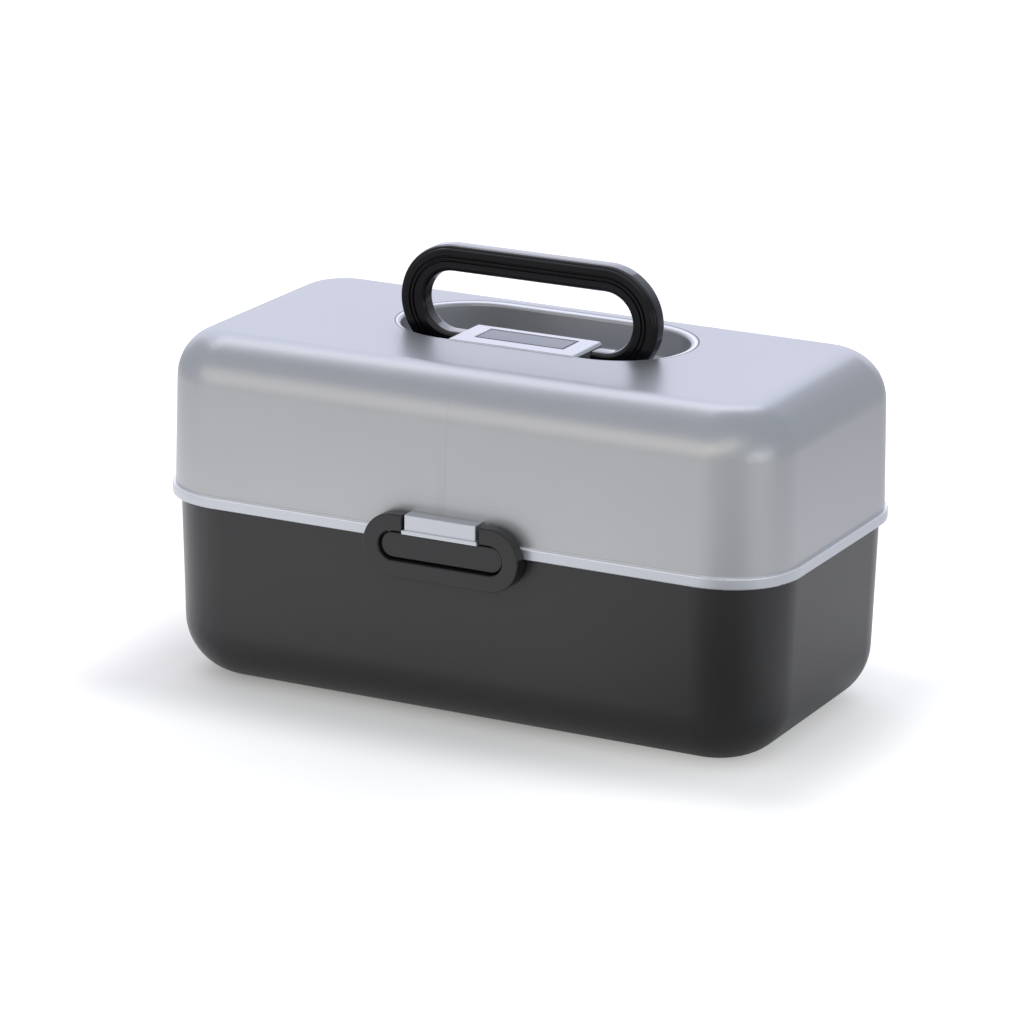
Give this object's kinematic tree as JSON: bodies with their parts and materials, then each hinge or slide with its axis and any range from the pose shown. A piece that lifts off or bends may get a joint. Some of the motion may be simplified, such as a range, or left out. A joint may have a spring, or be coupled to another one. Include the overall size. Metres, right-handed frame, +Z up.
{
  "type": "makeup storage case",
  "caption": "Rounded plastic case with a hinged lid, a folding top handle, a push-button latch, and trays that swing up and back with the lid.",
  "frame": {"origin": "middle of the base's flat underside", "axes": "+X to the right along the front, which faces -Y; +Z up"},
  "size_m": [0.33, 0.1864, 0.2158],
  "materials": {
    "silver_shell": "moulded plastic with a fine silver pigment, satin",
    "silver_trim": "moulded plastic with a fine silver pigment, satin, a little lighter",
    "black_shell": "moulded charcoal plastic, fine satin",
    "latch_black": "moulded black plastic, satin",
    "handle_black": "moulded black plastic, semi-gloss",
    "tray_plastic": "moulded charcoal plastic, fine satin",
    "plate_grey": "thin etched plate, bare",
    "steel": "zinc-plated steel",
    "spring_steel": "drawn spring wire"
  },
  "bodies": {
    "base": {"base_tub": "black_shell", "latch_bezel": "latch_black", "latch_screws": "steel", "hinge_pin_left": "steel", "hinge_pin_right": "steel", "base_rivets": "steel"},
    "lid": {"lid_shell": "silver_shell", "handle_well": "silver_shell", "handle_clamp": "silver_trim", "name_plate": "plate_grey", "clamp_screws": "steel", "link_rivets": "steel"},
    "handle": {"handle": "handle_black"},
    "latch_button": {"latch_button": "latch_black", "button_clips": "steel", "button_springs": "spring_steel"},
    "front_arms": {"front_arm_left": "steel", "front_arm_right": "steel"},
    "rear_arms": {"rear_arm_left": "steel", "rear_arm_right": "steel"},
    "lower_tray": {"tray_lower": "tray_plastic", "lower_tray_rivets": "steel"},
    "upper_tray": {"tray_upper": "tray_plastic", "upper_tray_rivets": "steel", "link_slot_pins": "steel"},
    "lid_links": {"lid_link_left": "steel", "lid_link_right": "steel"}
  },
  "joints": [
    {"name": "lid_hinge", "type": "hinge", "parent": "base", "child": "lid", "pos_m": [0, 0.0895, 0.091], "axis": [-1, 0, 0], "range_deg": [0, 100]},
    {"name": "handle_fold", "type": "hinge", "parent": "lid", "child": "handle", "pos_m": [0, 0.0003, 0.16635], "axis": [-1, 0, 0], "range_deg": [0, 90]},
    {"name": "latch_press", "type": "slide", "parent": "base", "child": "latch_button", "axis": [0, 1, 0], "range_m": [0, 0.0024], "stiffness_N_per_m": 500, "springref_m": -0.003, "deforming": ["button_springs"]},
    {"name": "front_arm_swing", "type": "hinge", "parent": "base", "child": "front_arms", "pos_m": [0, 0.00102, 0.07396], "axis": [-1, 0, 0], "range_deg": [0, 67]},
    {"name": "rear_arm_swing", "type": "hinge", "parent": "base", "child": "rear_arms", "pos_m": [0, 0.04202, 0.07396], "axis": [-1, 0, 0], "range_deg": [0, 67]},
    {"name": "lower_tray_level", "type": "hinge", "parent": "front_arms", "child": "lower_tray", "pos_m": [0, -0.02469, 0.1046], "axis": [-1, 0, 0], "range_deg": [-67, 0]},
    {"name": "upper_tray_level", "type": "hinge", "parent": "front_arms", "child": "upper_tray", "pos_m": [0, -0.0504, 0.13524], "axis": [-1, 0, 0], "range_deg": [-67, 0]},
    {"name": "lid_link_swing", "type": "hinge", "parent": "lid", "child": "lid_links", "pos_m": [0, 0.0582, 0.1109], "axis": [-1, 0, 0], "range_deg": [-44, 0]}
  ],
  "couplings": [
    {"joint": "front_arm_swing", "follows": "lid_hinge", "ratio": 0.66667},
    {"joint": "rear_arm_swing", "follows": "lid_hinge", "ratio": 0.66667},
    {"joint": "lower_tray_level", "follows": "lid_hinge", "ratio": -0.66667},
    {"joint": "upper_tray_level", "follows": "lid_hinge", "ratio": -0.66667},
    {"joint": "lid_link_swing", "follows": "lid_hinge", "ratio": -0.429}
  ]
}
